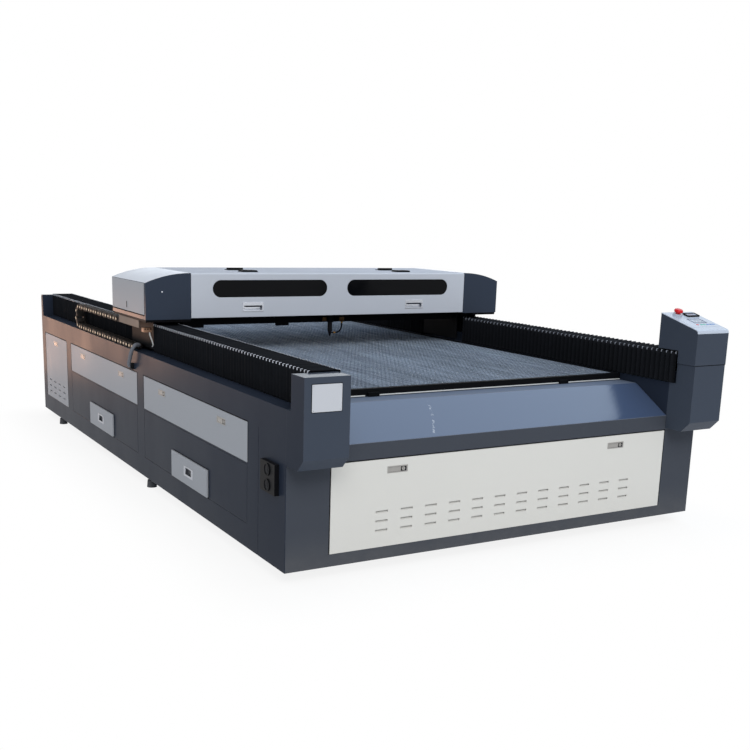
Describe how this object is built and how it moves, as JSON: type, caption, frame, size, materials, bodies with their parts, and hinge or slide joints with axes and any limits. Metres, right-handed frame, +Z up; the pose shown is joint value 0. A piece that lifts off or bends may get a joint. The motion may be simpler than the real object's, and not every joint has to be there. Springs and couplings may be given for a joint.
{
  "type": "laser cutting machine",
  "caption": "Flatbed laser cutting machine with a moving covered gantry over a honeycomb bed, pleated rail covers, a drag chain, scrap drawers and a control head.",
  "frame": {"origin": "on the floor, in the middle of the machine's width and depth", "axes": "+X to the right as seen by the operator at the front, +Y to the rear, +Z up"},
  "size_m": [2.1411, 3.96, 1.0853],
  "materials": {
    "slate_paint": "satin",
    "front_paint": "satin",
    "cream_paint": "satin",
    "silver_paint": "satin",
    "light_paint": "satin",
    "black_paint": "satin",
    "bare_steel": "brushed",
    "bed_aluminium": "brushed",
    "bellows_cloth": "matte",
    "black_plastic": "matte",
    "grey_plastic": "matte",
    "rubber": "matte",
    "chrome": "polished",
    "tinted": "gloss",
    "glass": "clear",
    "brass": "satin",
    "red_plastic": "gloss",
    "display_glass": "gloss"
  },
  "bodies": {
    "base": {"bottom_frame": "slate_paint", "frame_posts": "slate_paint", "bed_beams": "slate_paint", "left_skin": "slate_paint", "right_skin": "slate_paint", "front_frame": "front_paint", "rear_skin": "slate_paint", "exhaust_spigots": "light_paint", "apron": "front_paint", "bed_frame": "black_paint", "bed_panels": "bed_aluminium", "scrap_chutes": "slate_paint", "drawer_runners": "bare_steel", "rail_beams": "slate_paint", "linear_rails": "bare_steel", "left_front_cap": "front_paint", "right_front_cap": "front_paint", "rear_caps": "slate_paint", "control_head": "front_paint", "control_panel": "cream_paint", "display": "display_glass", "ammeter": "black_plastic", "front_bellows": "bellows_cloth", "rear_bellows": "bellows_cloth", "drag_chain": "black_plastic", "chain_conduit": "grey_plastic", "socket_box": "black_plastic", "levelling_feet": "rubber"},
    "gantry": {"gantry_beam": "black_paint", "side_carriages": "black_paint", "gantry_end_caps": "slate_paint", "rear_cover": "silver_paint", "tube_mounts": "bare_steel", "laser_tube": "glass", "x_rail": "bare_steel", "chain_arm": "light_paint", "lid_hinge_bases": "black_plastic"},
    "lid": {"lid": "silver_paint", "lid_windows": "tinted", "lid_handles": "chrome", "lid_hinge_leaves": "black_plastic"},
    "left_flap": {"left_end_flap": "light_paint"},
    "right_flap": {"right_end_flap": "light_paint"},
    "head": {"head_carriage": "black_paint", "air_hose": "rubber"},
    "nozzle": {"nozzle": "brass"},
    "front_door": {"front_door": "cream_paint"},
    "front_panel": {"left_front_panel": "light_paint"},
    "mid_panel": {"left_mid_panel": "light_paint"},
    "rear_panel": {"left_rear_panel": "light_paint"},
    "door_paddle_left": {"door_paddle_left": "chrome"},
    "door_paddle_right": {"door_paddle_right": "chrome"},
    "front_panel_paddle_front": {"front_panel_paddle_front": "chrome"},
    "front_panel_paddle_rear": {"front_panel_paddle_rear": "chrome"},
    "mid_panel_paddle_front": {"mid_panel_paddle_front": "chrome"},
    "mid_panel_paddle_rear": {"mid_panel_paddle_rear": "chrome"},
    "rear_panel_paddle": {"rear_panel_paddle": "chrome"},
    "front_drawer": {"front_drawer": "light_paint"},
    "rear_drawer": {"rear_drawer": "light_paint"},
    "estop": {"estop_button": "red_plastic"}
  },
  "joints": [
    {"name": "gantry_slide", "type": "slide", "parent": "base", "child": "gantry", "axis": [0, 1, 0], "range_m": [-1.3, 1.3], "deforming": ["front_bellows", "rear_bellows", "drag_chain"]},
    {"name": "head_slide", "type": "slide", "parent": "gantry", "child": "head", "axis": [1, 0, 0], "range_m": [-0.8, 0.8]},
    {"name": "focus_slide", "type": "slide", "parent": "head", "child": "nozzle", "axis": [0, 0, 1], "range_m": [-0.02, 0.02], "deforming": ["air_hose"]},
    {"name": "lid_hinge", "type": "hinge", "parent": "gantry", "child": "lid", "pos_m": [0, 0.014, 1.0793], "axis": [-1, 0, 0], "range_deg": [0, 95]},
    {"name": "left_flap_hinge", "type": "hinge", "parent": "gantry", "child": "left_flap", "pos_m": [-1.0563, -0.006, 1.02391], "axis": [0, 1, 0], "range_deg": [0, 80]},
    {"name": "right_flap_hinge", "type": "hinge", "parent": "gantry", "child": "right_flap", "pos_m": [1.0563, -0.006, 1.02391], "axis": [0, -1, 0], "range_deg": [0, 80]},
    {"name": "front_door_hinge", "type": "hinge", "parent": "base", "child": "front_door", "pos_m": [0, -1.841, 0.1], "axis": [1, 0, 0], "range_deg": [0, 90]},
    {"name": "front_panel_hinge", "type": "hinge", "parent": "base", "child": "front_panel", "pos_m": [-1.05, -0.8535, 0.403], "axis": [0, -1, 0], "range_deg": [0, 75]},
    {"name": "mid_panel_hinge", "type": "hinge", "parent": "base", "child": "mid_panel", "pos_m": [-1.05, 0.5375, 0.403], "axis": [0, -1, 0], "range_deg": [0, 75]},
    {"name": "rear_panel_hinge", "type": "hinge", "parent": "base", "child": "rear_panel", "pos_m": [-1.05, 1.5595, 0.153], "axis": [0, -1, 0], "range_deg": [0, 75]},
    {"name": "door_paddle_left_hinge", "type": "hinge", "parent": "front_door", "child": "door_paddle_left", "pos_m": [-0.567, -1.841, 0.4162], "axis": [1, 0, 0], "range_deg": [0, 22]},
    {"name": "door_paddle_right_hinge", "type": "hinge", "parent": "front_door", "child": "door_paddle_right", "pos_m": [0.567, -1.841, 0.4162], "axis": [1, 0, 0], "range_deg": [0, 22]},
    {"name": "front_panel_paddle_front_hinge", "type": "hinge", "parent": "front_panel", "child": "front_panel_paddle_front", "pos_m": [-1.05, -1.223, 0.5292], "axis": [0, -1, 0], "range_deg": [0, 22]},
    {"name": "front_panel_paddle_rear_hinge", "type": "hinge", "parent": "front_panel", "child": "front_panel_paddle_rear", "pos_m": [-1.05, -0.484, 0.5292], "axis": [0, -1, 0], "range_deg": [0, 22]},
    {"name": "mid_panel_paddle_front_hinge", "type": "hinge", "parent": "mid_panel", "child": "mid_panel_paddle_front", "pos_m": [-1.05, 0.164, 0.5292], "axis": [0, -1, 0], "range_deg": [0, 22]},
    {"name": "mid_panel_paddle_rear_hinge", "type": "hinge", "parent": "mid_panel", "child": "mid_panel_paddle_rear", "pos_m": [-1.05, 0.911, 0.5292], "axis": [0, -1, 0], "range_deg": [0, 22]},
    {"name": "rear_panel_paddle_hinge", "type": "hinge", "parent": "rear_panel", "child": "rear_panel_paddle", "pos_m": [-1.05, 1.5595, 0.5292], "axis": [0, -1, 0], "range_deg": [0, 22]},
    {"name": "front_drawer_slide", "type": "slide", "parent": "base", "child": "front_drawer", "axis": [-1, 0, 0], "range_m": [0, 0.42]},
    {"name": "rear_drawer_slide", "type": "slide", "parent": "base", "child": "rear_drawer", "axis": [-1, 0, 0], "range_m": [0, 0.42]},
    {"name": "estop_press", "type": "slide", "parent": "base", "child": "estop", "axis": [0, 0.2598, -0.9657], "range_m": [0, 0.006], "stiffness_N_per_m": 1500}
  ]
}
